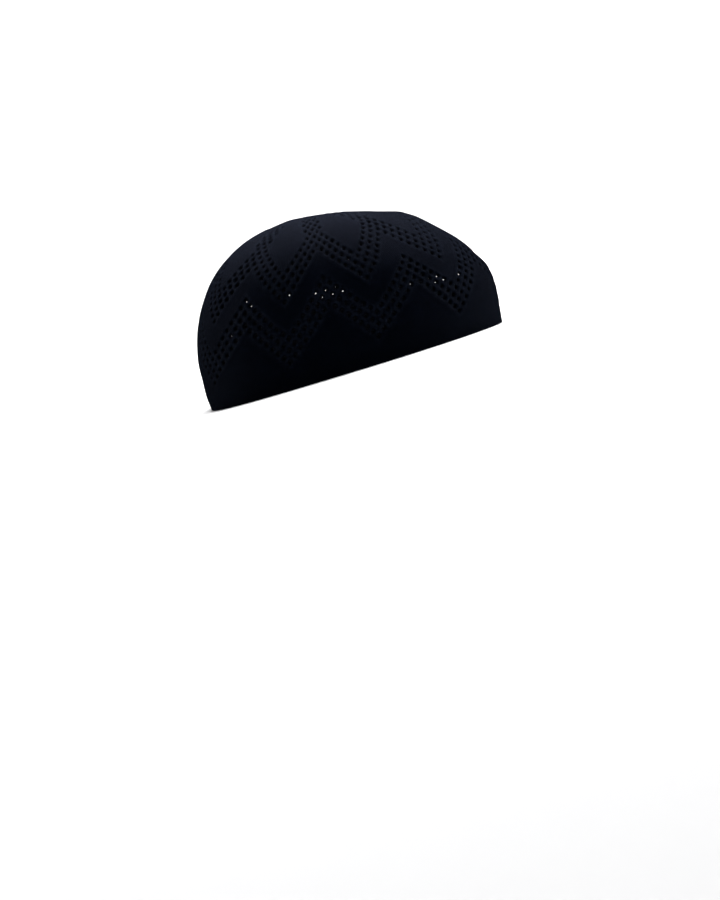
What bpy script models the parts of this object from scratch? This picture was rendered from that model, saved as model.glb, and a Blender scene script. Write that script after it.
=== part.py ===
"""Knitted openwork skull cap: one hollow knitted shell that stands on its rim.

The cap is knitted in columns that climb from the rim to the centre of the crown. Three profile
curves, up the front, the back and the side, give its form, and every ring of knitting runs
through them. Two zigzag bands of eyelets climb it, and their peaks run on up the crown as rays.
The eyelets are finer than this solid goes: the openwork is drawn as thinner knit.
X points to the front of the cap, Y to the wearer's left and Z up, and the rim lies on Z = 0.
"""
import math

import bmesh
import bpy
import numpy as np

# Driving dimensions, in metres
RIM_LENGTH = 0.194
RIM_WIDTH = 0.152
CROWN_HEIGHT = 0.1014
KNIT_THICKNESS = 0.0018
OPENWORK_DEPTH = 0.0006
RIM_ROUNDING = 0.0004
PLAIN_RIM_WIDTH = 0.0170
PLAIN_CROWN_RADIUS = 0.025
CROWN_CLOSING_RADIUS = 0.006
ROW_PITCH = 0.0035
ROW_PITCH_STRETCH = 0.000016

# How square the rings are seen from above (2 is an ellipse), and where they are widest,
# as a share of half their length from their middle
FRONT_SQUARENESS = 2.1
BACK_SQUARENESS = 3.2
CROWN_SQUARENESS = 2.2
WIDEST_SHARE = -0.06

# The knitted chart. Columns are counted round the cap from the front over the wearer's right
# side, and rows up from the first row of eyelets.
REPEATS = 10
COLUMNS_PER_REPEAT = 8
FIRST_VALLEY_COLUMN = 8.8
COLUMNS_LEANED_PER_ROW = -0.083
BAND_FIRST_ROWS = (0, 10)
EYELETS_ACROSS_ARM = 3
RAY_COLUMNS_EACH_SIDE = 1

# How finely the solid is drawn on its inner side, and which edges it keeps sharp
INNER_RINGS = 14
SHARP_FROM = math.radians(50)

COLUMNS = REPEATS * COLUMNS_PER_REPEAT

# Each profile climbs from the rim to the crown's centre.
# Columns: out, a share of half the rim's length or width; up, a share of the crown's height.
FRONT_PROFILE = (
    (1.000, 0.000),
    (1.018, 0.165),
    (1.024, 0.250),
    (1.015, 0.340),
    (0.985, 0.420),
    (0.890, 0.562),
    (0.775, 0.680),
    (0.663, 0.785),
    (0.600, 0.828),
    (0.555, 0.853),
    (0.460, 0.880),
    (0.325, 0.920),
    (0.196, 0.953),
    (0.066, 0.976),
    (-0.062, 0.993),
)
BACK_PROFILE = (
    (1.000, 0.000),
    (1.010, 0.082),
    (1.006, 0.169),
    (0.987, 0.336),
    (0.938, 0.493),
    (0.863, 0.638),
    (0.764, 0.765),
    (0.640, 0.865),
    (0.499, 0.935),
    (0.351, 0.975),
    (0.208, 0.996),
    (0.137, 1.000),
    (0.062, 0.993),
)
SIDE_PROFILE = (
    (1.000, 0.000),
    (1.012, 0.150),
    (1.015, 0.250),
    (1.010, 0.380),
    (0.990, 0.500),
    (0.945, 0.620),
    (0.862, 0.740),
    (0.740, 0.845),
    (0.590, 0.920),
    (0.410, 0.967),
    (0.210, 0.988),
    (0.000, 0.993),
)


def clear_scene():
    """Remove whatever the open file holds."""
    for thing in list(bpy.data.objects):
        bpy.data.objects.remove(thing, do_unlink=True)


def smooth_profile(rows, half_width, steps=24):
    """Run a smooth curve through a profile's rows, and return its points in metres."""
    knots = np.array(rows) * (half_width, CROWN_HEIGHT)
    padded = np.vstack([2 * knots[0] - knots[1], knots, 2 * knots[-1] - knots[-2]])
    points = [knots[0]]
    for a, b, c, d in zip(padded, padded[1:], padded[2:], padded[3:]):
        for t in np.arange(1, steps + 1) / steps:
            square = (2 * a - 5 * b + 4 * c - d) * t ** 2
            cube = (3 * b - a - 3 * c + d) * t ** 3
            points.append(0.5 * (2 * b + (c - a) * t + square + cube))
    return np.array(points)


def length_along(points):
    """Return how far along a curve of points each of them lies."""
    steps = np.linalg.norm(np.diff(points, axis=0), axis=1)
    return np.concatenate([[0.0], np.cumsum(steps)])


def read_curve(points, shares):
    """Read a curve of points at shares of its length."""
    reach = length_along(points)
    wanted = np.asarray(shares) * reach[-1]
    return np.stack([np.interp(wanted, reach, axis) for axis in points.T], axis=-1)


FRONT_CURVE = smooth_profile(FRONT_PROFILE, RIM_LENGTH / 2)
BACK_CURVE = smooth_profile(BACK_PROFILE, RIM_LENGTH / 2)
SIDE_CURVE = smooth_profile(SIDE_PROFILE, RIM_WIDTH / 2)
SIDE_CLIMB = length_along(SIDE_CURVE)[-1]


def ring(share, places, fine=720):
    """Return the points of one ring of knitting, at a share of the way from rim to crown centre.

    A place is a share of the way round, from the front and over the wearer's right side.
    """
    front_out, front_up = read_curve(FRONT_CURVE, share)
    back_out, back_up = read_curve(BACK_CURVE, share)
    side_out, side_up = read_curve(SIDE_CURVE, share)
    half_length = (front_out + back_out) / 2
    widest = (front_out - back_out) / 2 + WIDEST_SHARE * half_length
    turn = np.linspace(0, math.tau, fine + 1)
    ahead, across = np.cos(turn), np.sin(turn)
    squareness = BACK_SQUARENESS + (CROWN_SQUARENESS - BACK_SQUARENESS) * share
    power = 2 / np.where(ahead > 0, FRONT_SQUARENESS, squareness)
    length = np.where(ahead > 0, front_out - widest, back_out + widest)
    x = widest + length * np.sign(ahead) * np.abs(ahead) ** power
    y = -side_out * np.sign(across) * np.abs(across) ** power
    z = side_up + (np.where(ahead > 0, front_up, back_up) - side_up) * ahead ** 2
    return read_curve(np.stack([x, y, z], axis=-1), np.mod(places, 1.0))


def inner_ring(share, places, depth):
    """Return a ring moved into the knit by a depth, square to its surface."""
    step = 1e-3
    low, high = max(share - step, 0.0), min(share + step, 1 - step)
    climb = ring(high, places) - ring(low, places)
    round_it = ring(share, places + step) - ring(share, places - step)
    inward = np.cross(round_it, climb)
    inward /= np.linalg.norm(inward, axis=1, keepdims=True)
    return ring(share, places) + inward * np.reshape(depth, (-1, 1))


def row_share(row):
    """Return how far up the cap a row of the chart lies, as a share of the climb.

    The rows lie further apart the higher they are, because the knit is stretched more there.
    """
    return (PLAIN_RIM_WIDTH + row * ROW_PITCH + row ** 2 * ROW_PITCH_STRETCH) / SIDE_CLIMB


def row_at(climb):
    """Return which row lies at a length of climb up the side."""
    past_rim = 4 * ROW_PITCH_STRETCH * (climb - PLAIN_RIM_WIDTH)
    return (math.sqrt(ROW_PITCH ** 2 + past_rim) - ROW_PITCH) / (2 * ROW_PITCH_STRETCH)


RAY_LAST_ROW = int(row_at(SIDE_CLIMB - PLAIN_CROWN_RADIUS))
LAST_ROW = int(row_at(SIDE_CLIMB - CROWN_CLOSING_RADIUS))


def is_openwork(row, columns):
    """Say which columns of a row the chart leaves open."""
    half_repeat = COLUMNS_PER_REPEAT / 2
    valley = FIRST_VALLEY_COLUMN + COLUMNS_LEANED_PER_ROW * row
    offset = np.abs(np.mod(columns - valley + half_repeat, COLUMNS_PER_REPEAT) - half_repeat)
    past_peaks = BAND_FIRST_ROWS[-1] + COLUMNS_PER_REPEAT < row <= RAY_LAST_ROW
    is_open = past_peaks & (half_repeat - offset <= RAY_COLUMNS_EACH_SIDE)
    for first_row in BAND_FIRST_ROWS:
        into_arm = np.round((row - first_row) / 2 - offset, 3)
        is_open |= (into_arm >= 0) & (into_arm < EYELETS_ACROSS_ARM)
    return is_open


def outer_rows():
    """List the outer skin's rows from the rim up: the edge, plain knit, then the chart."""
    edge = row_at(RIM_ROUNDING)
    first_row = math.ceil(edge + 0.5)
    return [edge, *range(first_row, LAST_ROW + 1)]


def places_round(row, number):
    """Place a ring's points on the knitted columns, half a column over on every second ring."""
    valley = FIRST_VALLEY_COLUMN + COLUMNS_LEANED_PER_ROW * row
    return (valley + np.arange(COLUMNS) + 0.5 * (number % 2)) / COLUMNS


def build_shell():
    """Draw the knitted shell as rings from the crown down the outside and up the inside."""
    rows = outer_rows()
    rings = []
    for row in reversed(rows):
        places = places_round(row, LAST_ROW + len(rings))
        depth = OPENWORK_DEPTH * is_openwork(row, places * COLUMNS)
        rings.append(inner_ring(row_share(row), places, depth))
    for depth in (RIM_ROUNDING, KNIT_THICKNESS - RIM_ROUNDING):
        underside = inner_ring(0.0, places_round(rows[0], LAST_ROW + len(rings)), depth)
        underside[:, 2] = 0.0
        rings.append(underside)
    for share in np.linspace(row_share(rows[0]), row_share(LAST_ROW), INNER_RINGS):
        places = places_round(rows[0], LAST_ROW + len(rings))
        rings.append(inner_ring(share, places, KNIT_THICKNESS))
    return rings


def middle_of(rings):
    """Return the middle of the cap's length, which becomes X = 0."""
    reach = np.concatenate([points[:, 0] for points in rings])
    return np.array([(reach.max() + reach.min()) / 2, 0.0, 0.0])


def make_mesh(name, rings, centres):
    """Join staggered rings with triangles, and close both ends at the crown's centre."""
    shape = bmesh.new()
    loops = [[shape.verts.new(point) for point in points] for points in rings]
    for number, (one, two) in enumerate(zip(loops, loops[1:])):
        for i in range(COLUMNS):
            n = (i + 1) % COLUMNS
            if (LAST_ROW + number) % 2 == 0:
                shape.faces.new((one[i], one[n], two[i]))
                shape.faces.new((one[n], two[n], two[i]))
            else:
                shape.faces.new((one[i], one[n], two[n]))
                shape.faces.new((one[i], two[n], two[i]))
    for loop, point in zip((loops[0], loops[-1]), centres):
        centre = shape.verts.new(point)
        for i in range(COLUMNS):
            shape.faces.new((loop[i], loop[(i + 1) % COLUMNS], centre))
    bmesh.ops.recalc_face_normals(shape, faces=shape.faces)
    mesh = bpy.data.meshes.new(name)
    shape.to_mesh(mesh)
    shape.free()
    return mesh


def knit_material():
    """Return the fine black knit."""
    material = bpy.data.materials.new("black_knit")
    material.use_nodes = True
    shader = material.node_tree.nodes["Principled BSDF"]
    shader.inputs["Base Color"].default_value = (0.012, 0.014, 0.02, 1.0)
    shader.inputs["Roughness"].default_value = 0.9
    shader.inputs["Metallic"].default_value = 0.0
    return material


def main():
    clear_scene()
    rings = build_shell()
    middle = middle_of(rings)
    crown = np.array([FRONT_CURVE[-1][0], 0.0, FRONT_CURVE[-1][1]]) - middle
    inside = crown - (0.0, 0.0, KNIT_THICKNESS)
    mesh = make_mesh("knitted_cap", [points - middle for points in rings], (crown, inside))
    mesh.materials.append(knit_material())
    mesh.shade_smooth()
    mesh.set_sharp_from_angle(angle=SHARP_FROM)
    cap = bpy.data.objects.new("knitted_cap", mesh)
    bpy.context.scene.collection.objects.link(cap)


main()
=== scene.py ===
# %% [markdown]
# # A knitted openwork skull cap, stitch by stitch
# The real cap is one piece of fine black machine knit, worked round and round from the rim to the
# crown. Rows of small eyelets climb it in two zigzag bands. This lesson dresses the plain CAD
# shell: the same form is drawn again with every eyelet cut through, and the stitches, which are
# finer than a mesh should go, are left to the material.

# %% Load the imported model
import math

import bmesh
import bpy
import numpy as np
from mathutils import Euler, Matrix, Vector


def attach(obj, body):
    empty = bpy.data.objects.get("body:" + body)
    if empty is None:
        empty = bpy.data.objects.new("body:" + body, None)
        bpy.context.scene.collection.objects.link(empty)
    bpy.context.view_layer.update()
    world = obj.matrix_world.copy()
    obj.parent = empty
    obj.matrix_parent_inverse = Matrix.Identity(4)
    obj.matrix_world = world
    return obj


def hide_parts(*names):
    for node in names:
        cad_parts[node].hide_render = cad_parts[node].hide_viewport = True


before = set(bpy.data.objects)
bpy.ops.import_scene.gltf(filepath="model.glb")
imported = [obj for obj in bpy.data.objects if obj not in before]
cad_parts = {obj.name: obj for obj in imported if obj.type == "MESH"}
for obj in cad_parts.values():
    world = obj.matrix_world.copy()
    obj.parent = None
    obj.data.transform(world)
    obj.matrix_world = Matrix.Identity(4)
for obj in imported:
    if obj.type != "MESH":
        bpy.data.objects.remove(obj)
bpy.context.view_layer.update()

# %% [markdown]
# ## The camera
# A long lens looks at the cap's right side from barely above the plane of its rim. The picture
# is turned so that the rim climbs to the right. A tilted cap would have to float, so the cap
# stays flat on the floor and the camera rolls instead.

# %% Camera
CAMERA_DISTANCE = 2.3
RIM_VIEW_ANGLE = math.radians(2.4)
ROLL = math.radians(16.84)
PICTURE_PIXELS_HIGH, METRES_PER_PIXEL = 900, 0.0006407
SENSOR_MM = 36
NEAREST_SEEN, FARTHEST_SEEN = 0.05, 30
AIM = Vector((-0.0147, 0.0, -0.0524))

camera_data = bpy.data.cameras.new("camera")
camera_data.sensor_fit = "VERTICAL"
camera_data.sensor_height = SENSOR_MM
camera_data.lens = SENSOR_MM * CAMERA_DISTANCE / (PICTURE_PIXELS_HIGH * METRES_PER_PIXEL)
camera_data.clip_start, camera_data.clip_end = NEAREST_SEEN, FARTHEST_SEEN
camera = bpy.data.objects.new("camera", camera_data)
camera.location = (0, -CAMERA_DISTANCE * math.cos(RIM_VIEW_ANGLE),
                   CAMERA_DISTANCE * math.sin(RIM_VIEW_ANGLE))
towards_cap = (AIM - camera.location).to_track_quat("-Z", "Y").to_matrix().to_4x4()
roll_turn = Euler((0, 0, -ROLL)).to_matrix().to_4x4()
camera.rotation_euler = (towards_cap @ roll_turn).to_euler()
bpy.context.scene.collection.objects.link(camera)
bpy.context.scene.camera = camera
print("lens mm", round(camera_data.lens, 1), "camera at", [round(c, 3) for c in camera.location])

# %% [markdown]
# ## The cap's form
# Pulled over a block, a round knitted tube takes three telling outlines: up the front, up the
# back and up the side. A few rows each give them, as shares of the cap's size. One could sculpt
# the cap instead, but rows of numbers are easy to correct against a photograph, and they are the
# same rows that the CAD shell was drawn from.

# %% Sizes and outlines
RIM_LENGTH, RIM_WIDTH, CROWN_HEIGHT = 0.194, 0.152, 0.1014
KNIT_THICKNESS = 0.0018
FRONT_SQUARENESS, BACK_SQUARENESS, CROWN_SQUARENESS = 2.1, 3.2, 2.2
WIDEST_SHARE = -0.06

FRONT_PROFILE = (
    (1.000, 0.000), (1.018, 0.165), (1.024, 0.250), (1.015, 0.340), (0.985, 0.420),
    (0.890, 0.562), (0.775, 0.680), (0.663, 0.785), (0.600, 0.828), (0.555, 0.853),
    (0.460, 0.880), (0.325, 0.920), (0.196, 0.953), (0.066, 0.976), (-0.062, 0.993),
)
BACK_PROFILE = (
    (1.000, 0.000), (1.010, 0.082), (1.006, 0.169), (0.987, 0.336), (0.938, 0.493),
    (0.863, 0.638), (0.764, 0.765), (0.640, 0.865), (0.499, 0.935), (0.351, 0.975),
    (0.208, 0.996), (0.137, 1.000), (0.062, 0.993),
)
SIDE_PROFILE = (
    (1.000, 0.000), (1.012, 0.150), (1.015, 0.250), (1.010, 0.380), (0.990, 0.500),
    (0.945, 0.620), (0.862, 0.740), (0.740, 0.845), (0.590, 0.920), (0.410, 0.967),
    (0.210, 0.988), (0.000, 0.993),
)


def smooth_profile(rows, half_width, steps=24):
    """Run a smooth curve through a profile's rows, and return its points in metres."""
    knots = np.array(rows) * (half_width, CROWN_HEIGHT)
    padded = np.vstack([2 * knots[0] - knots[1], knots, 2 * knots[-1] - knots[-2]])
    points = [knots[0]]
    for a, b, c, d in zip(padded, padded[1:], padded[2:], padded[3:]):
        for t in np.arange(1, steps + 1) / steps:
            square = (2 * a - 5 * b + 4 * c - d) * t ** 2
            cube = (3 * b - a - 3 * c + d) * t ** 3
            points.append(0.5 * (2 * b + (c - a) * t + square + cube))
    return np.array(points)


def length_along(points):
    """Return how far along a curve of points each of them lies."""
    return np.concatenate([[0.0], np.cumsum(np.linalg.norm(np.diff(points, axis=0), axis=1))])


def read_curve(points, shares):
    """Read a curve of points at shares of its length."""
    reach = length_along(points)
    wanted = np.asarray(shares) * reach[-1]
    return np.stack([np.interp(wanted, reach, axis) for axis in points.T], axis=-1)


front_curve = smooth_profile(FRONT_PROFILE, RIM_LENGTH / 2)
back_curve = smooth_profile(BACK_PROFILE, RIM_LENGTH / 2)
side_curve = smooth_profile(SIDE_PROFILE, RIM_WIDTH / 2)
side_climb = length_along(side_curve)[-1]
print("climb up the side mm", round(side_climb * 1000, 1))

# %% Rings of knitting
def ring(share, places, fine=720):
    """Return points of one ring, at a share of the way from the rim to the crown's centre.

    A place is a share of the way round, from the front and over the wearer's right side.
    """
    front_out, front_up = read_curve(front_curve, share)
    back_out, back_up = read_curve(back_curve, share)
    side_out, side_up = read_curve(side_curve, share)
    widest = (front_out - back_out) / 2 + WIDEST_SHARE * (front_out + back_out) / 2
    turn = np.linspace(0, math.tau, fine + 1)
    ahead, across = np.cos(turn), np.sin(turn)
    squareness = BACK_SQUARENESS + (CROWN_SQUARENESS - BACK_SQUARENESS) * share
    power = 2 / np.where(ahead > 0, FRONT_SQUARENESS, squareness)
    length = np.where(ahead > 0, front_out - widest, back_out + widest)
    x = widest + length * np.sign(ahead) * np.abs(ahead) ** power
    y = -side_out * np.sign(across) * np.abs(across) ** power
    z = side_up + (np.where(ahead > 0, front_up, back_up) - side_up) * ahead ** 2
    return read_curve(np.stack([x, y, z], axis=-1), np.mod(places, 1.0))


SHARE_STEPS, PLACE_STEPS = 700, 1280
TOP_SHARE = 0.999  # just short of the centre, where a ring would have no length
shares = np.linspace(0, TOP_SHARE, SHARE_STEPS)
skin = np.stack([ring(share, np.arange(PLACE_STEPS) / PLACE_STEPS) for share in shares])
skin[..., 0] -= (skin[..., 0].max() + skin[..., 0].min()) / 2

climbing = np.gradient(skin, axis=0)
rounding = (np.roll(skin, -1, axis=1) - np.roll(skin, 1, axis=1)) / 2
outward = np.cross(climbing, rounding)
outward /= np.linalg.norm(outward, axis=2, keepdims=True)
ring_lengths = np.linalg.norm(rounding, axis=2).sum(axis=1)
print("rim round mm", round(ring_lengths[0] * 1000), "skin table", skin.shape)


def read_table(table, share, place):
    """Read a table of the skin between its steps."""
    last_step = SHARE_STEPS - 1
    i = np.clip(share / shares[-1] * last_step, 0, last_step - 0.001)
    j = np.mod(place, 1.0) * PLACE_STEPS
    i0, j0 = i.astype(int), j.astype(int) % PLACE_STEPS
    j1 = (j0 + 1) % PLACE_STEPS
    s, t = (i - i0)[..., None], (j - np.floor(j))[..., None]
    low = table[i0, j0] * (1 - t) + table[i0, j1] * t
    high = table[i0 + 1, j0] * (1 - t) + table[i0 + 1, j1] * t
    return low * (1 - s) + high * s

# %% [markdown]
# ## The knitting chart
# A knitter works an eyelet pattern from a squared chart. Here the chart is a lattice: rows climb
# the cap, and in every second row the eyelets sit half a column over, so that each eyelet has its
# own diamond of knit. Ten repeats of eight columns go round. An eyelet is open where a short rule
# says so, which is simpler to check against the photograph than a thousand places.

# %% Chart
REPEATS, COLUMNS_PER_REPEAT = 10, 8
COLUMNS = REPEATS * COLUMNS_PER_REPEAT
FIRST_VALLEY_COLUMN = 8.8
COLUMNS_LEANED_PER_ROW = -0.083
PLAIN_RIM_WIDTH, ROW_PITCH, ROW_PITCH_STRETCH = 0.0170, 0.0035, 0.000016
BAND_FIRST_ROWS = (0, 10)
EYELETS_ACROSS_ARM = 3
RAY_FIRST_ROW, RAY_LAST_ROW, RAY_COLUMNS_EACH_SIDE = 19, 27, 1
CROWN_HOLE_RADIUS = 0.0022


def row_climb(rows):
    """Return how far up the side rows lie, in metres. High rows are stretched more."""
    return PLAIN_RIM_WIDTH + rows * ROW_PITCH + rows ** 2 * ROW_PITCH_STRETCH


def row_at(climb):
    """Return which row lies at a length of climb."""
    root = math.sqrt(ROW_PITCH ** 2 + 4 * ROW_PITCH_STRETCH * (climb - PLAIN_RIM_WIDTH))
    return (root - ROW_PITCH) / (2 * ROW_PITCH_STRETCH)


def from_valley(columns):
    """Return how many columns lie between a chart column and the nearest valley of the zigzag."""
    half = COLUMNS_PER_REPEAT / 2
    return np.abs(np.mod(columns + half, COLUMNS_PER_REPEAT) - half)


def is_open(columns, rows):
    """Say which diamonds of the chart hold an eyelet."""
    from_peak = COLUMNS_PER_REPEAT / 2 - from_valley(columns)
    found = (rows >= RAY_FIRST_ROW) & (rows <= RAY_LAST_ROW)
    found &= from_peak <= RAY_COLUMNS_EACH_SIDE
    for first_row in BAND_FIRST_ROWS:
        into_arm = np.round((rows - first_row) / 2 - from_valley(columns), 3)
        found |= (into_arm >= 0) & (into_arm < EYELETS_ACROSS_ARM)
    return found


RIM_RADIUS = KNIT_THICKNESS / 2
rim_row = row_at(RIM_RADIUS)
crown_row = row_at(side_climb - CROWN_HOLE_RADIUS)
chart_rows = np.arange(math.floor(rim_row), math.ceil(crown_row) + 1)
cell_rows = np.repeat(chart_rows, COLUMNS).astype(float)
cell_columns = np.tile(np.arange(COLUMNS), len(chart_rows)) + 0.5 * (cell_rows % 2)
open_cells = is_open(cell_columns, cell_rows)
print("rows", chart_rows[0], "to", chart_rows[-1], "diamonds", len(cell_rows),
      "eyelets", open_cells.sum())

# %% [markdown]
# ## Where the chart lies on the cap
# Near the crown the knitter takes stitches away in the plain wedges, so the rays of eyelets keep
# their width while the wedges narrow. The same is done here by spreading the columns near each
# peak. The columns also lean a little, as round knitting does. A cap that has been worn is pulled
# down at the front, so there the rows sag by up to a row and the columns beside the middle are
# drawn forward. Nor does it sit quite evenly: the wearer's left side is turned forward by a third
# of a column and sits a third of a row higher. A lattice bent after the fact could do that too,
# but short tables read in the same function keep every stitch where the chart says.

# %% From chart to cap
KEPT_COLUMN_WIDTH = 0.0047
MOST_SPREAD = 0.5
SAG_ROWS, SAG_AMOUNTS = (rim_row, 0, 12, 24), (0.0, 0.35, 0.8, 0.0)
SAG_FULL_TO, SAG_NONE_FROM = 0.12, 0.22
PULL_ROWS, PULL_AMOUNTS = (2, 12, 15), (0.0, 0.4, 0.0)
PULL_PLACE, PULL_REACH = 0.16, 0.05
LEFT_TURN_COLUMNS, LEFT_RISE_ROWS = 0.3, 0.3
LEFT_FROM, LEFT_EASE = 0.48, 0.06


def fade(value):
    """Go smoothly from 0 to 1 as a value does."""
    value = np.clip(value, 0, 1)
    return value * value * (3 - 2 * value)


def column_width(rows):
    """Return how wide one evenly spaced column is at a row."""
    return np.interp(row_climb(rows) / side_climb, shares, ring_lengths) / COLUMNS


def pulled(place, rows):
    """Move places and rows as wear has: down and forward at the front, round and up on the left."""
    round_share = np.mod(place, 1)
    from_front = np.minimum(round_share, 1 - round_share)
    side = np.where(round_share < 0.5, 1, -1)
    near_front = fade((SAG_NONE_FROM - from_front) / (SAG_NONE_FROM - SAG_FULL_TO))
    sag = np.interp(rows, SAG_ROWS, SAG_AMOUNTS) * near_front
    near_pull = fade(1 - np.abs(from_front - PULL_PLACE) / PULL_REACH)
    pull = np.interp(rows, PULL_ROWS, PULL_AMOUNTS) * near_pull / COLUMNS
    left = fade((round_share - LEFT_FROM) / LEFT_EASE) * fade((1 - round_share) / LEFT_EASE)
    turn = LEFT_TURN_COLUMNS / COLUMNS * left
    rise = LEFT_RISE_ROWS * left * np.interp(rows, (rim_row, 0), (0, 1))
    return place - side * pull + turn, rows - sag + rise


def on_cap(columns, rows, height):
    """Return points of the cap at chart columns and rows, raised from its skin by a height."""
    spread = np.clip(KEPT_COLUMN_WIDTH / column_width(rows) - 1, 0, MOST_SPREAD)
    wave = np.sin((columns + COLUMNS_PER_REPEAT / 2) * math.tau / COLUMNS_PER_REPEAT)
    moved = columns + spread * wave * COLUMNS_PER_REPEAT / math.tau
    place = (FIRST_VALLEY_COLUMN + moved + COLUMNS_LEANED_PER_ROW * rows) / COLUMNS
    place, rows = pulled(place, rows)
    share = row_climb(rows) / side_climb
    return read_table(skin, share, place) + read_table(outward, share, place) * height[..., None]


ends = np.array([rim_row, crown_row])
print("column width mm, at the rim and the crown", (column_width(ends) * 1000).round(2))

# %% [markdown]
# ## Relief of the openwork
# Each eyelet is made by leaning two stitches together beside a gap. The leaning stitches stack up
# as a raised cord of yarn along the arm of the zigzag, and a lower bridge crosses between two
# eyelets. Sine waves along and across the arm draw both, and fade out in the plain knit. The
# rays have no arm to follow, so there a plain net of yarn does it. The same net is kept as a mask
# for the material, which paints a highlight on the yarn that stands up between eyelets. Long, low
# waves go over everything, since knit is never quite taut.

# %% Relief
RIDGE_HEIGHT, LIP_DEPTH, BRIDGE_HEIGHT = 0.00042, 0.00038, 0.00028
RAY_FADE_ROWS = 1.5
NET_EDGE, NET_EDGE_WIDTH = 0.9, 0.8  # how far past its outer eyelets a band's net goes, and fades
SOFTNESS, SOFT_RIM_ROWS = 0.00022, 3
SOFT_WAVES = ((5, 0.31, 0.0), (9, -0.23, 1.3), (3, 0.7, 0.0))  # waves round, turn a row, start


def band_relief(columns, rows, first_row):
    """Return the cords and bridges of one zigzag band, and where the band is."""
    into_arm = (rows - first_row) / 2 - from_valley(columns)
    along_arm = (rows - first_row) / 2 + from_valley(columns)
    cord = np.sin(math.pi * into_arm) ** 2
    bridge = (1 - cord) * np.sin(math.pi * along_arm) ** 2
    here = fade(2 * np.minimum(into_arm + 1, EYELETS_ACROSS_ARM - into_arm))
    return -LIP_DEPTH + (RIDGE_HEIGHT + LIP_DEPTH) * cord + BRIDGE_HEIGHT * bridge, here


def netting(columns, rows):
    """Return 0 in the middle of an eyelet, rising to 1 on the yarn between two."""
    one_way, other_way = math.pi * (rows / 2 + columns), math.pi * (rows / 2 - columns)
    return 1 - np.cos(one_way) ** 2 * np.cos(other_way) ** 2


def ray_relief(columns, rows):
    """Return the netting of the rays, and where they are."""
    from_peak = COLUMNS_PER_REPEAT / 2 - from_valley(columns)
    here = fade((RAY_COLUMNS_EACH_SIDE + 1 - from_peak) * 2) * fade(rows - RAY_FIRST_ROW)
    here = here * fade(RAY_LAST_ROW + RAY_FADE_ROWS - rows)
    return -LIP_DEPTH + (RIDGE_HEIGHT + LIP_DEPTH) * netting(columns, rows), here


def relief(columns, rows):
    """Return the height of the knit's face over the cap's skin."""
    height, covered = ray_relief(columns, rows)
    height = height * covered
    for first_row in BAND_FIRST_ROWS:
        band, here = band_relief(columns, rows, first_row)
        height = height * (1 - here) + band * here
    turn = columns * math.tau / COLUMNS
    soft = sum(np.sin(round_cap * turn + in_row * rows + start)
               for round_cap, in_row, start in SOFT_WAVES)
    return height + SOFTNESS * soft / len(SOFT_WAVES) * fade((rows - rim_row) / SOFT_RIM_ROWS)


def painted_highlight_net(columns, rows):
    """Return where the yarn stands up between eyelets, for a painted highlight, weaker at a band's
    edge.
    """
    here = fade(ray_relief(columns, rows)[1])
    for first_row in BAND_FIRST_ROWS:
        into_arm = (rows - first_row) / 2 - from_valley(columns)
        within = np.minimum(into_arm, EYELETS_ACROSS_ARM - 1 - into_arm)
        here = np.maximum(here, fade((within + NET_EDGE) / NET_EDGE_WIDTH))
    return netting(columns, rows) * here


sample = np.meshgrid(np.linspace(0, COLUMNS_PER_REPEAT, 200), np.linspace(rim_row, crown_row, 400))
sample = relief(*sample) * 1000
print("relief mm", sample.min().round(2), "to", sample.max().round(2))

# %% [markdown]
# ## Diamonds with and without eyelets
# A hole could be cut with a boolean for each eyelet, but a thousand booleans are slow and leave
# ragged faces. Here each diamond is drawn on its own. A plain one is a small grid where the knit
# is in relief, and five wider faces elsewhere. An open one is rings that run from its edge to the
# eyelet, down through the knit and out again on the inside. Yarn is round, so an eyelet is
# narrowest half way through. Neighbours share their edge points, so the whole cap closes into one
# skin.

# %% Diamonds
EDGE_STEPS = 3
EYELET_RADIUS = 0.00105
EYELET_SPREAD, EYELET_UNROUNDNESS = 0.10, 0.05
EYELET_SLANT = 0.0003
NUDGE = 0.01  # of a column or row, to measure how large they are
RINGS = (  # how far from the diamond's edge to the eyelet; its width, slant and depth there
    (0.0, 1.00, 0.0, None), (0.55, 1.20, 0.5, None), (1.0, 1.14, 1.0, 0.00030),
    (1.0, 0.48, 0.0, 0.00095), (1.0, 1.00, -1.0, 0.00160), (0.0, 1.00, 0.0, KNIT_THICKNESS),
)
WIDE_QUADS = (  # five faces that fill a plain diamond from the points on its edge alone
    ((0, 1), (0, 0), (1, 0), (3, 1)), ((3, 1), (1, 0), (2, 0), (3, 0)),
    ((0, 1), (3, 1), (3, 2), (0, 2)), ((3, 2), (3, 3), (2, 3), (0, 2)),
    ((0, 2), (2, 3), (1, 3), (0, 3)),
)
random = np.random.default_rng(7)

corners = np.array([(0.5, -0.5), (0.5, 0.5), (-0.5, 0.5), (-0.5, -0.5)])
edge_shares = np.arange(EDGE_STEPS)[:, None]
edge_walk = np.concatenate([start + (end - start) * edge_shares / EDGE_STEPS
                            for start, end in zip(corners, np.roll(corners, -1, axis=0))])
AROUND = len(edge_walk)
eyelet_turn = np.arange(AROUND) * math.tau / AROUND


def chart_place(centre_columns, centre_rows, steps):
    """Turn steps inside a diamond into chart columns and rows."""
    a, b = steps[..., 0], steps[..., 1]
    return centre_columns[:, None] + (a - b) / 2, centre_rows[:, None] + a + b


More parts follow.
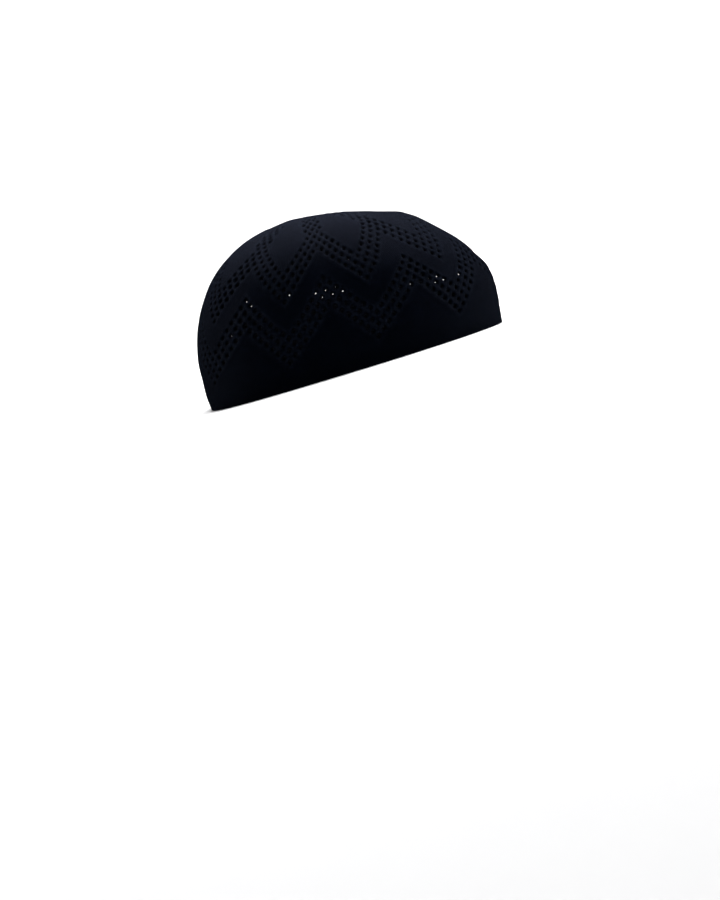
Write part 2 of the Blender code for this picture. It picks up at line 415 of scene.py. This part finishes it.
def eyelet_steps(centre_columns, centre_rows):
    """Return a circle of points in each diamond and the slant up it, as steps of the diamond."""
    flat = np.zeros_like(centre_rows)
    east, west, north, south = (
        on_cap(centre_columns + a, centre_rows + b, flat)
        for a, b in ((NUDGE, 0), (-NUDGE, 0), (0, NUDGE), (0, -NUDGE)))
    wide = np.linalg.norm(east - west, axis=1)[:, None] / (2 * NUDGE)
    high = np.linalg.norm(north - south, axis=1)[:, None] / (2 * NUDGE)
    radius = EYELET_RADIUS * (1 + EYELET_SPREAD * random.standard_normal((len(centre_rows), 1)))
    unround = 1 + EYELET_UNROUNDNESS * random.standard_normal((len(centre_rows), 1))
    right = radius * np.cos(eyelet_turn) * unround / wide
    up = radius * np.sin(eyelet_turn) / high
    slant = EYELET_SLANT / high[..., None] / 2
    return np.stack([up / 2 + right, up / 2 - right], axis=-1), slant


print("points round a diamond and its eyelet", AROUND)

# %% Draw the points and faces
FACE, INSIDE = 0, 1  # layers of points; the rings down through an eyelet have higher numbers
points, faces, face_is_inside, raised = [], [], [], []
first_point = 0


def add_points(columns, rows, depth, layer):
    """Keep points with their depth in the knit (None is its face) and return their numbers.

    What is kept as raised runs from -1 down in an eyelet, through 0 on plain knit, to 1 on a
    cord or bridge of yarn. The material paints shade where it is below 0 and a highlight where it
    is above 0.
    """
    global first_point
    rows = np.clip(rows, rim_row, crown_row)
    if depth is None:
        height, stands_up = relief(columns, rows), painted_highlight_net(columns, rows)
    else:
        height = np.full_like(rows, -depth)
        stands_up = np.full_like(rows, -1.0 if layer > INSIDE else 0.0)
    kept = np.stack([columns, rows, height, np.full_like(rows, layer)], axis=-1)
    points.append(kept.reshape(-1, 4))
    raised.append(stands_up.reshape(-1))
    numbers = first_point + np.arange(rows.size).reshape(rows.shape)
    first_point += rows.size
    return numbers


def add_faces(a, b, c, d, inside):
    """Keep four-cornered faces."""
    faces.append(np.stack([a, b, c, d], axis=-1).reshape(-1, 4))
    face_is_inside.append(np.full(a.size, inside))


# %% Plain diamonds
# On the face and on the inside: a grid where the knit is in relief or is cut off at the rim or
# crown, and five wider faces elsewhere.
CUT_OFF_ROWS = 1.5
steps = np.linspace(-0.5, 0.5, EDGE_STEPS + 1)
grid_steps = np.stack(np.meshgrid(steps, steps, indexing="ij"), axis=-1).reshape(-1, 2)
cut_off = (cell_rows < rim_row + CUT_OFF_ROWS) | (cell_rows > crown_row - CUT_OFF_ROWS)
beside = ((0.5, 1), (-0.5, 1), (0.5, -1), (-0.5, -1), (1, 0), (-1, 0), (0, 2), (0, -2))
in_relief = np.any([is_open(cell_columns + a, cell_rows + b) for a, b in beside], axis=0)
for depth, layer in ((None, FACE), (KNIT_THICKNESS, INSIDE)):
    inside = layer == INSIDE
    fine = ~open_cells & (cut_off if inside else cut_off | in_relief)
    for chosen in (fine, ~open_cells & ~fine):
        plain_places = chart_place(cell_columns[chosen], cell_rows[chosen], grid_steps[None])
        n = add_points(*plain_places, depth, layer).reshape(-1, EDGE_STEPS + 1, EDGE_STEPS + 1)
        if chosen is fine:
            add_faces(n[:, :-1, :-1], n[:, 1:, :-1], n[:, 1:, 1:], n[:, :-1, 1:], inside)
        else:
            for quad in WIDE_QUADS:
                add_faces(*[n[:, i, j] for i, j in quad], inside)
print("plain diamonds", (~open_cells).sum(), "in relief", (in_relief & ~open_cells).sum())

# %% Open diamonds
# Ring by ring, from the face through the eyelet to the inside.
open_columns, open_rows = cell_columns[open_cells], cell_rows[open_cells]
eyelets, slants = eyelet_steps(open_columns, open_rows)
for number, (share, width, slant, depth) in enumerate(RINGS):
    is_last = number == len(RINGS) - 1
    layer = INSIDE if is_last else INSIDE + number if number else FACE
    ring_steps = edge_walk[None] * (1 - share) + eyelets * (share * width) + slants * slant
    n = add_points(*chart_place(open_columns, open_rows, ring_steps), depth, layer)
    if number > 0:
        add_faces(above, np.roll(above, -1, axis=1), np.roll(n, -1, axis=1), n, is_last)
    above = n

points, faces, raised = np.concatenate(points), np.concatenate(faces), np.concatenate(raised)
face_is_inside = np.concatenate(face_is_inside)
print("points before joining", len(points), "faces", len(faces))

# %% Join neighbours
# A point's chart place and layer name it, so points that two diamonds share become one.
NAME_STEPS, TINY = 4096, 1e-6
corner_columns, corner_rows = points[faces][..., 0], points[faces][..., 1]
columns_round = np.mod(points[:, 0] + TINY, COLUMNS)
names = np.stack([columns_round, points[:, 1], points[:, 3]], axis=-1) * NAME_STEPS
_, keep, joined = np.unique(np.round(names).astype(np.int64), axis=0,
                            return_index=True, return_inverse=True)
points, faces, raised = points[keep], joined.reshape(-1)[faces], raised[keep]

has_height = np.ptp(corner_rows, axis=1) > TINY
faces, face_is_inside = faces[has_height], face_is_inside[has_height]
corner_columns, corner_rows = corner_columns[has_height], corner_rows[has_height]
places = on_cap(points[:, 0], points[:, 1], points[:, 2])
print("points", len(points), "faces", len(faces))

# %% [markdown]
# ## Rim and crown
# The real rim is the plain cast-on edge, thin and round, with no hem. Four more rings of points
# roll the face under to the inside. At the crown the last stitches are drawn together, so the face
# and the inside each run down to a point in a small dimple.

# %% Loops
used = np.unique(faces)


def loop_at(row, layer):
    """Return the numbers of the open loop's points at a row, in order round the cap."""
    here = used[(np.abs(points[used, 1] - row) < TINY) & (points[used, 3] == layer)]
    return here[np.argsort(np.mod(points[here, 0], COLUMNS))]


def new_loop(new_places):
    """Add a loop's points and return their numbers."""
    global places
    numbers = len(places) + np.arange(len(new_places))
    places = np.concatenate([places, new_places])
    return numbers


def keep_faces(new, new_columns, new_rows, inside):
    """Add faces, with the chart places of their corners for the stitches."""
    global faces, face_is_inside, corner_columns, corner_rows
    faces = np.concatenate([faces, new])
    face_is_inside = np.concatenate([face_is_inside, np.full(len(new), inside)])
    corner_columns = np.concatenate([corner_columns, new_columns])
    corner_rows = np.concatenate([corner_rows, new_rows])


def join_loops(loops, loop_columns, inside):
    """Join loops of equal length with faces. A loop is its points' numbers and its row."""
    step = np.roll(loop_columns, -1).copy()
    step[-1] += COLUMNS
    new_columns = np.stack([loop_columns, step, step, loop_columns], axis=-1)
    for (one, one_row), (two, two_row) in zip(loops, loops[1:]):
        new = np.stack([one, np.roll(one, -1), np.roll(two, -1), two], axis=-1)
        new_rows = np.full((len(new), 4), one_row) + np.array([0, 0, 1, 1]) * (two_row - one_row)
        keep_faces(new, new_columns, new_rows, inside)


print("open loops end at rows", round(rim_row, 2), "and", round(crown_row, 2))

# %% Roll the rim
RIM_TURNS = np.radians([36, 72, 108, 144])
outer, inner = loop_at(rim_row, FACE), loop_at(rim_row, INSIDE)
inward = places[inner] - places[outer]
rim_loops = [(outer, rim_row)]
for turn in RIM_TURNS:
    under = places[outer] + inward * (1 - math.cos(turn)) / 2
    under[:, 2] = places[outer][:, 2] * (1 - math.sin(turn))
    rim_loops.append((new_loop(under), rim_row - math.sin(turn) * RIM_RADIUS / ROW_PITCH))
join_loops(rim_loops + [(inner, rim_row)], np.mod(points[outer, 0], COLUMNS), False)
print("rim points", len(outer), len(inner), "lowest mm", round(places[:, 2].min() * 1000, 3))

# %% Close the crown
CROWN_DIMPLE, INSIDE_DIMPLE = 0.0009, 0.00036
CROWN_LOOPS = (0.62, 0.28, 0.06)
for layer, deeper in ((FACE, CROWN_DIMPLE), (INSIDE, INSIDE_DIMPLE)):
    edge = loop_at(crown_row, layer)
    centre = places[edge].mean(axis=0)
    crown_loops = [(edge, crown_row)]
    for share in CROWN_LOOPS:
        drawn = centre + (places[edge] - centre) * share
        drawn[:, 2] -= deeper * (1 - share) ** 2
        crown_loops.append((new_loop(drawn), crown_row + 1 - share))
    edge_columns = np.mod(points[edge, 0], COLUMNS)
    join_loops(crown_loops, edge_columns, layer == INSIDE)
    last = crown_loops[-1][0]
    tip = np.repeat(new_loop(np.array([centre - (0, 0, deeper)])), len(last))
    tip_faces = np.stack([last, np.roll(last, -1), tip, tip], axis=-1)
    keep_faces(tip_faces, np.repeat(edge_columns[:, None], 4, axis=1),
               np.full(tip_faces.shape, crown_row + 1), layer == INSIDE)
print("crown closed, faces", len(faces))

# %% [markdown]
# ## One mesh, with stitch coordinates
# The UV map isn't for a picture. It counts stitches: U counts them round the cap and V counts the
# rows of stitches upwards, so the material can draw every stitch at its true size. Towards the
# crown the count round the cap drops in steps, as when a knitter takes stitches away. A point
# attribute, raised, carries the mask of the yarn that stands up between eyelets and of the yarn
# down in an eyelet, where the material paints a highlight and shade.

# %% Mesh
STITCH_WIDTH = 0.00115
STITCH_ROWS_PER_CHART_ROW = 5
STITCH_COUNTS = np.array([0.5, 1, 1.5, 2, 3, 4, 5, 6])


def stitches_per_column(rows):
    """Return how many stitches a column holds at rows, from the counts that a knitter could use."""
    wanted = column_width(rows) / STITCH_WIDTH
    return STITCH_COUNTS[np.abs(STITCH_COUNTS[None] - wanted[:, None]).argmin(axis=1)]


def make_cap_mesh(name):
    """Build the cap's mesh from the joined faces, with its stitch coordinates and its mask."""
    three = faces[:, 2] == faces[:, 3]
    sizes = np.where(three, 3, 4)
    starts = np.concatenate([[0], np.cumsum(sizes)[:-1]])
    use = np.ones(faces.shape, bool)
    use[three, 3] = False
    mesh = bpy.data.meshes.new(name)
    mesh.vertices.add(len(places))
    mesh.vertices.foreach_set("co", places.ravel())
    mesh.loops.add(int(sizes.sum()))
    mesh.loops.foreach_set("vertex_index", faces[use].astype(np.int32))
    mesh.polygons.add(len(faces))
    mesh.polygons.foreach_set("loop_start", starts.astype(np.int32))
    mesh.polygons.foreach_set("material_index", face_is_inside.astype(np.int32))
    stitches = stitches_per_column(corner_rows.mean(axis=1))[:, None]
    uv = np.stack([corner_columns * stitches, corner_rows * STITCH_ROWS_PER_CHART_ROW], axis=-1)
    uv_map = mesh.uv_layers.new(name="stitches")
    uv_map.data.foreach_set("uv", uv[use].astype(np.float32).ravel())
    stands_up = np.concatenate([raised, np.zeros(len(places) - len(raised))])
    mask = mesh.attributes.new("raised", "FLOAT", "POINT")
    mask.data.foreach_set("value", stands_up.astype(np.float32))
    mesh.update(calc_edges=True)
    mesh.validate()
    return mesh


def tidy_mesh(mesh):
    """Point every face outwards and drop points that no face uses."""
    shape = bmesh.new()
    shape.from_mesh(mesh)
    bmesh.ops.delete(shape, geom=[v for v in shape.verts if not v.link_faces], context="VERTS")
    bmesh.ops.recalc_face_normals(shape, faces=shape.faces)
    open_edges = sum(1 for e in shape.edges if len(e.link_faces) != 2)
    triangles = sum(len(f.verts) - 2 for f in shape.faces)
    shape.to_mesh(mesh)
    shape.free()
    return open_edges, triangles


print("stitches a column, at the rim and the crown", stitches_per_column(ends))

# %% Make the cap
cap_mesh = make_cap_mesh("openwork_cap")
open_edges, triangles = tidy_mesh(cap_mesh)
cap_mesh.shade_smooth()
cap = bpy.data.objects.new("openwork_cap", cap_mesh)
bpy.context.scene.collection.objects.link(cap)
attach(cap, "root")
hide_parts("knitted_cap")
print("open edges", open_edges, "triangles", triangles)

# %% [markdown]
# ## The stitches
# A knit stitch shows as a V of two legs of yarn that lean towards each other. Modelled, the cap
# would need sixty thousand of them. A height pattern does the same at this distance: each leg is a
# small cushion, and the dark lines between legs are where light doesn't reach. It is a group with
# named inputs, because the face and the inside both use it with different values.

# %% Node helpers
def new_group(name, inputs, outputs):
    """Start a shader node group with named sockets, and return it with its two ends."""
    group = bpy.data.node_groups.new(name, "ShaderNodeTree")
    for label, kind, value in inputs:
        kind = "NodeSocket" + kind
        socket = group.interface.new_socket(label, in_out="INPUT", socket_type=kind)
        if value is not None:
            socket.default_value = value
    for label, kind in outputs:
        group.interface.new_socket(label, in_out="OUTPUT", socket_type="NodeSocket" + kind)
    given, result = group.nodes.new("NodeGroupInput"), group.nodes.new("NodeGroupOutput")
    return group, given.outputs, result.inputs


def set_input(tree, socket, value):
    """Link a socket to another, or give it a plain value."""
    if isinstance(value, bpy.types.NodeSocket):
        tree.links.new(value, socket)
    else:
        socket.default_value = value


def calculate(tree, operation, *values):
    """Add a Math node and return its result."""
    node = tree.nodes.new("ShaderNodeMath")
    node.operation = operation
    for socket, value in zip(node.inputs, values):
        set_input(tree, socket, value)
    return node.outputs[0]


def part_of(tree, vector, axis):
    """Return one number of a vector."""
    node = tree.nodes.new("ShaderNodeSeparateXYZ")
    tree.links.new(vector, node.inputs[0])
    return node.outputs[axis]

# %% Stitch group
stitch_group, given, result = new_group(
    "Knit stitches",
    [("Stitch", "Vector", None), ("Lean", "Float", 0.9), ("Leg roundness", "Float", 0.7)],
    [("Height", "Float"), ("Gap", "Float")])


def cushion(tree, share, roundness):
    """Return a rounded hump over a share that goes from 0 to 1."""
    hump = calculate(tree, "SINE", calculate(tree, "MULTIPLY", share, math.pi))
    return calculate(tree, "POWER", calculate(tree, "MAXIMUM", hump, 0.0), roundness)


across = calculate(stitch_group, "FRACT", part_of(stitch_group, given["Stitch"], "X"))
from_middle = calculate(stitch_group, "SUBTRACT", across, 0.5)
side = calculate(stitch_group, "MULTIPLY", calculate(stitch_group, "ABSOLUTE", from_middle), 2.0)
shift = calculate(stitch_group, "MULTIPLY", side, given["Lean"])
upwards = part_of(stitch_group, given["Stitch"], "Y")
along = calculate(stitch_group, "FRACT", calculate(stitch_group, "SUBTRACT", upwards, shift))
leg = cushion(stitch_group, side, given["Leg roundness"])
loop = cushion(stitch_group, along, given["Leg roundness"])
height = calculate(stitch_group, "MULTIPLY", leg, loop)
stitch_group.links.new(height, result["Height"])
stitch_group.links.new(calculate(stitch_group, "SUBTRACT", 1.0, height), result["Gap"])
print("group", stitch_group.name, "nodes", len(stitch_group.nodes))

# %% [markdown]
# ## The yarn
# Black yarn is never one black. Dyed fibres vary a little, and loose ones catch grazing light as a
# pale blue bloom. The colour group mixes two near-blacks by noise, and paints shade into the gaps
# between stitches. It also uses the mask from the mesh: it paints a highlight on the yarn that
# stands up between eyelets, uneven along the thread, and paints shade on the yarn down in an
# eyelet. The bloom is the shader's sheen, which belongs to grazing light.

# %% Yarn colour group
PATCH_DETAIL, PATCH_ROUGHNESS = 6.0, 0.65
THREAD_DETAIL, THREAD_CONTRAST, THREAD_SHIFT = 2.0, 5.0, -1.7
# Painted shade: colours that the gaps between stitches and the yarn down in an eyelet are darkened
# towards.
GAP_SHADE_TINT, EYELET_SHADE = (0.12, 0.12, 0.14, 1), (0.0001, 0.0001, 0.0002, 1)
LEAST_ROUGHNESS, ROUGHNESS_RANGE = 0.78, 0.16


def noise(tree, place, scale, detail, roughness=0.5):
    """Add a noise texture and return its value."""
    node = tree.nodes.new("ShaderNodeTexNoise")
    values = {"Vector": place, "Scale": scale, "Detail": detail, "Roughness": roughness}
    for name, value in values.items():
        set_input(tree, node.inputs[name], value)
    return node.outputs["Fac"]


def mix_colors(tree, blend, factor, a, b):
    """Add a Mix node for colours and return its result."""
    node = tree.nodes.new("ShaderNodeMix")
    node.data_type, node.blend_type = "RGBA", blend
    for name, value in {"Factor": factor, "A": a, "B": b}.items():
        set_input(tree, node.inputs[name], value)
    return node.outputs["Result"]


yarn_group, given, result = new_group(
    "Yarn colour",
    [("Place", "Vector", None), ("Gap", "Float", 0.0), ("Raised", "Float", 0.0),
     ("Dark", "Color", (0.002, 0.002, 0.003, 1)), ("Light", "Color", (0.01, 0.01, 0.015, 1)),
     ("Painted highlight", "Color", (0.004, 0.004, 0.006, 1)), ("Patch scale", "Float", 60.0),
     ("Thread scale", "Float", 420.0), ("Gap darkness", "Float", 0.85),
     ("Depth darkness", "Float", 0.85)],
    [("Color", "Color"), ("Roughness", "Float")])
patches = noise(yarn_group, given["Place"], given["Patch scale"], PATCH_DETAIL, PATCH_ROUGHNESS)
tone = mix_colors(yarn_group, "MIX", patches, given["Dark"], given["Light"])

# Painted highlight: the yarn that stands up between eyelets is coloured lighter, uneven along the
# thread.
threads = noise(yarn_group, given["Place"], given["Thread scale"], THREAD_DETAIL)
uneven = calculate(yarn_group, "MULTIPLY_ADD", threads, THREAD_CONTRAST, THREAD_SHIFT)
uneven = calculate(yarn_group, "MAXIMUM", uneven, 0.0)
standing = calculate(yarn_group, "MAXIMUM", given["Raised"], 0.0)
standing = calculate(yarn_group, "MULTIPLY", standing, uneven)
painted_highlight_yarn = mix_colors(yarn_group, "ADD", standing, tone, given["Painted highlight"])

# Painted shade in the gaps between stitches.
gap_shade = calculate(yarn_group, "MULTIPLY", given["Gap"], given["Gap darkness"])
shaded = mix_colors(yarn_group, "MULTIPLY", gap_shade, painted_highlight_yarn, GAP_SHADE_TINT)
# Painted shade on the yarn down in an eyelet, from the mask.
sunk = calculate(yarn_group, "MULTIPLY", given["Raised"], -1.0)
sunk = calculate(yarn_group, "MAXIMUM", sunk, 0.0)
sunk = calculate(yarn_group, "MULTIPLY", sunk, given["Depth darkness"])
yarn_color = mix_colors(yarn_group, "MIX", sunk, shaded, EYELET_SHADE)
dullness = calculate(yarn_group, "MULTIPLY_ADD", patches, ROUGHNESS_RANGE, LEAST_ROUGHNESS)
yarn_group.links.new(yarn_color, result["Color"])
yarn_group.links.new(dullness, result["Roughness"])
print("group", yarn_group.name, "nodes", len(yarn_group.nodes))

# %% Yarn fibre group
FIBRE_DETAIL = 3.0
fibre_group, given, result = new_group(
    "Yarn fibres",
    [("Place", "Vector", None), ("Fibre scale", "Float", 2600.0), ("Amount", "Float", 0.3),
     ("Stitch height", "Float", 0.0)],
    [("Height", "Float")])
fibres = noise(fibre_group, given["Place"], given["Fibre scale"], FIBRE_DETAIL)
fuzzy = calculate(fibre_group, "MULTIPLY_ADD", fibres, given["Amount"], given["Stitch height"])
fibre_group.links.new(fuzzy, result["Height"])
print("groups", [g.name for g in bpy.data.node_groups])

# %% [markdown]
# ## Painted light on the crown
# Painted light: the crown is coloured lighter where light from above falls, most at its top and
# somewhat lower at the front. One could paint that into a picture, but a height read from the
# object's own coordinates needs no picture, and one number moves it. This group adds a lighter
# colour there, in patches, and mostly on the tops of the stitches. The face and the inside use it
# with their own colours.

# %% Painted crown light group
# Painted light: from these heights up, and lower at the front, the crown is coloured lighter.
CROWN_LIGHT_FROM, CROWN_LIGHT_TO = 0.056, 0.106
FRONT_LIT_LOWER = 0.17
CROWN_LIGHT_PATCH_SCALE, CROWN_LIGHT_PATCH_DETAIL, LEAST_CROWN_LIGHT = 35.0, 4.0, 0.5
GAPS_LESS_LIT = 0.85

crown_lit_group, given, result = new_group(
    "Painted crown light",
    [("Place", "Vector", None), ("Gap", "Float", 0.0), ("Color", "Color", (0.0, 0.0, 0.0, 1)),
     ("Crown light", "Color", (0.01, 0.01, 0.015, 1))],
    [("Color", "Color")])
ahead = part_of(crown_lit_group, given["Place"], "X")
up = part_of(crown_lit_group, given["Place"], "Z")
climb = crown_lit_group.nodes.new("ShaderNodeMapRange")
climb.interpolation_type = "SMOOTHSTEP"
climb.inputs["From Min"].default_value = CROWN_LIGHT_FROM
climb.inputs["From Max"].default_value = CROWN_LIGHT_TO
crown_light_height = calculate(crown_lit_group, "MULTIPLY_ADD", ahead, FRONT_LIT_LOWER, up)
crown_lit_group.links.new(crown_light_height, climb.inputs["Value"])
patches = noise(crown_lit_group, given["Place"], CROWN_LIGHT_PATCH_SCALE, CROWN_LIGHT_PATCH_DETAIL)
patches = calculate(crown_lit_group, "ADD", patches, LEAST_CROWN_LIGHT)
on_tops = calculate(crown_lit_group, "MULTIPLY_ADD", given["Gap"], -GAPS_LESS_LIT, 1.0)
amount = calculate(crown_lit_group, "MULTIPLY", climb.outputs["Result"], patches)
amount = calculate(crown_lit_group, "MULTIPLY", amount, on_tops)
crown_light_color = mix_colors(crown_lit_group, "ADD", amount, given["Color"], given["Crown light"])
crown_lit_group.links.new(crown_light_color, result["Color"])
print("group", crown_lit_group.name, "nodes", len(crown_lit_group.nodes))

# %% Knit materials
SHEEN, SHEEN_ROUGHNESS, SHEEN_TINT = 0.020, 0.35, (0.62, 0.70, 0.98, 1)
STITCH_DEPTH, BUMP_STRENGTH = 0.0004, 0.9


def place_group(tree, group, values):
    """Place a node group in a material with its own values, and return its outputs."""
    node = tree.nodes.new("ShaderNodeGroup")
    node.node_tree = group
    for name, value in values.items():
        set_input(tree, node.inputs[name], value)
    return node.outputs


def knit_material(name, dark, light, painted_highlight, crown_light, lean):
    """Return a knit material: bump of stitches and fibres, yarn colour with painted highlight and
    shade, painted light on the crown, and a sheen.
    """
    material = bpy.data.materials.new(name)
    material.use_nodes = True
    tree = material.node_tree
    shader = tree.nodes["Principled BSDF"]
    stitch_place = tree.nodes.new("ShaderNodeUVMap")
    stitch_place.uv_map = "stitches"
    mask = tree.nodes.new("ShaderNodeAttribute")
    mask.attribute_name = "raised"
    place = tree.nodes.new("ShaderNodeTexCoord").outputs["Object"]

    stitches = place_group(tree, stitch_group, {"Stitch": stitch_place.outputs["UV"], "Lean": lean})
    yarn = place_group(tree, yarn_group, {
        "Place": place, "Gap": stitches["Gap"], "Raised": mask.outputs["Fac"],
        "Dark": dark, "Light": light, "Painted highlight": painted_highlight})
    crown_lit = place_group(tree, crown_lit_group, {
        "Place": place, "Gap": stitches["Gap"], "Color": yarn["Color"], "Crown light": crown_light})
    fibres = place_group(tree, fibre_group, {"Place": place, "Stitch height": stitches["Height"]})
    bump = tree.nodes.new("ShaderNodeBump")
    bump.inputs["Strength"].default_value = BUMP_STRENGTH
    bump.inputs["Distance"].default_value = STITCH_DEPTH
    tree.links.new(fibres["Height"], bump.inputs["Height"])

    tree.links.new(crown_lit["Color"], shader.inputs["Base Color"])
    tree.links.new(yarn["Roughness"], shader.inputs["Roughness"])
    tree.links.new(bump.outputs["Normal"], shader.inputs["Normal"])
    shader.inputs["Specular IOR Level"].default_value = 0.0
    shader.inputs["Sheen Weight"].default_value = SHEEN
    shader.inputs["Sheen Roughness"].default_value = SHEEN_ROUGHNESS
    shader.inputs["Sheen Tint"].default_value = SHEEN_TINT
    return material


# Each material's own colours, among them a painted highlight on raised yarn and painted light on
# the crown.
face_knit = knit_material(
    "black_knit_face", dark=(0.0004, 0.0008, 0.0018, 1), light=(0.0015, 0.0027, 0.0060, 1),
    painted_highlight=(0.0027, 0.0035, 0.0054, 1), crown_light=(0.0098, 0.0109, 0.0157, 1), lean=0.9)
inside_knit = knit_material(
    "black_knit_inside", dark=(0.0010, 0.0014, 0.0026, 1), light=(0.0030, 0.0040, 0.0075, 1),
    painted_highlight=(0.0, 0.0, 0.0, 1), crown_light=(0.0016, 0.0019, 0.0029, 1), lean=-1.4)
cap_mesh.materials.append(face_knit)
cap_mesh.materials.append(inside_knit)
print("materials", [m.name for m in cap_mesh.materials])

# %% [markdown]
# ## Floor and light
# A pale floor curves up into a wall all round, like a photographer's paper sweep, so no horizon
# shows from any side. Soft light from a large panel overhead, a little behind the cap and towards
# its front, lights the crown more than the wall of the cap, which stays near black; the crown's
# grey is also painted lighter in the knit material. A second panel lights mainly the paper behind,
# so that it is as pale as the floor.

# %% Floor
FLOOR_RADIUS, WALL_RADIUS, WALL_HEIGHT = 2.6, 3.4, 3.2
ROUND = 96
sweep = [(0.001, 0.0), (0.6, 0.0), (1.6, 0.0), (FLOOR_RADIUS, 0.0)]  # radius and height of rings
bend = WALL_RADIUS - FLOOR_RADIUS
for turn in np.radians(np.arange(10, 91, 10)):
    sweep.append((FLOOR_RADIUS + bend * math.sin(turn), bend * (1 - math.cos(turn))))
sweep.append((WALL_RADIUS, WALL_HEIGHT))
turns = np.arange(ROUND) * math.tau / ROUND
floor_points = [(r * math.cos(t), r * math.sin(t), z) for r, z in sweep for t in turns]
floor_faces = []
for low in range(0, (len(sweep) - 1) * ROUND, ROUND):
    for j in range(ROUND):
        k = (j + 1) % ROUND
        floor_faces.append((low + j, low + k, low + ROUND + k, low + ROUND + j))
floor_faces.append(tuple(range(ROUND)))
floor_mesh = bpy.data.meshes.new("studio_floor")
floor_mesh.from_pydata(floor_points, [], floor_faces)
floor_mesh.shade_smooth()
floor = bpy.data.objects.new("studio_floor", floor_mesh)
bpy.context.scene.collection.objects.link(floor)
print("floor faces", len(floor_mesh.polygons))

# %% Paper
PAPER_TONES = (0.60, 0.60, 0.605, 1), (0.63, 0.63, 0.63, 1)
PAPER_PATCH_SCALE, PAPER_ROUGHNESS, PAPER_GLOSS = 3.0, 0.9, 0.1

paper = bpy.data.materials.new("pale_paper")
paper.use_nodes = True
paper_patches = paper.node_tree.nodes.new("ShaderNodeTexNoise")
paper_patches.inputs["Scale"].default_value = PAPER_PATCH_SCALE
paper_tone = mix_colors(paper.node_tree, "MIX", paper_patches.outputs["Fac"], *PAPER_TONES)
paper_shader = paper.node_tree.nodes["Principled BSDF"]
paper.node_tree.links.new(paper_tone, paper_shader.inputs["Base Color"])
paper_shader.inputs["Roughness"].default_value = PAPER_ROUGHNESS
paper_shader.inputs["Specular IOR Level"].default_value = PAPER_GLOSS
floor_mesh.materials.append(paper)
print("material", paper.name)

# %% Lights
AIR_LIGHT = 0.18


def soft_panel(name, place, size, watts, target):
    """Add a square light panel that faces a point."""
    data = bpy.data.lights.new(name, "AREA")
    data.shape, data.size, data.energy = "SQUARE", size, watts
    panel = bpy.data.objects.new(name, data)
    panel.location = place
    panel.rotation_euler = (Vector(target) - Vector(place)).to_track_quat("-Z", "Y").to_euler()
    bpy.context.scene.collection.objects.link(panel)


soft_panel("panel_overhead", (0.5, 0.65, 2.05), size=1.8, watts=200, target=(0.0, 0.0, 0.05))
soft_panel("panel_behind", (0.0, 2.2, 2.4), size=1.6, watts=70, target=(0.0, 3.2, 0.4))
world = bpy.data.worlds.new("studio_air")
world.use_nodes = True
world.node_tree.nodes["Background"].inputs["Color"].default_value = (1, 1, 1, 1)
world.node_tree.nodes["Background"].inputs["Strength"].default_value = AIR_LIGHT
bpy.context.scene.world = world
bpy.context.scene.view_settings.view_transform = "Standard"
bpy.context.scene.view_settings.look = "None"
print("lights", [lamp.name for lamp in bpy.data.lights])
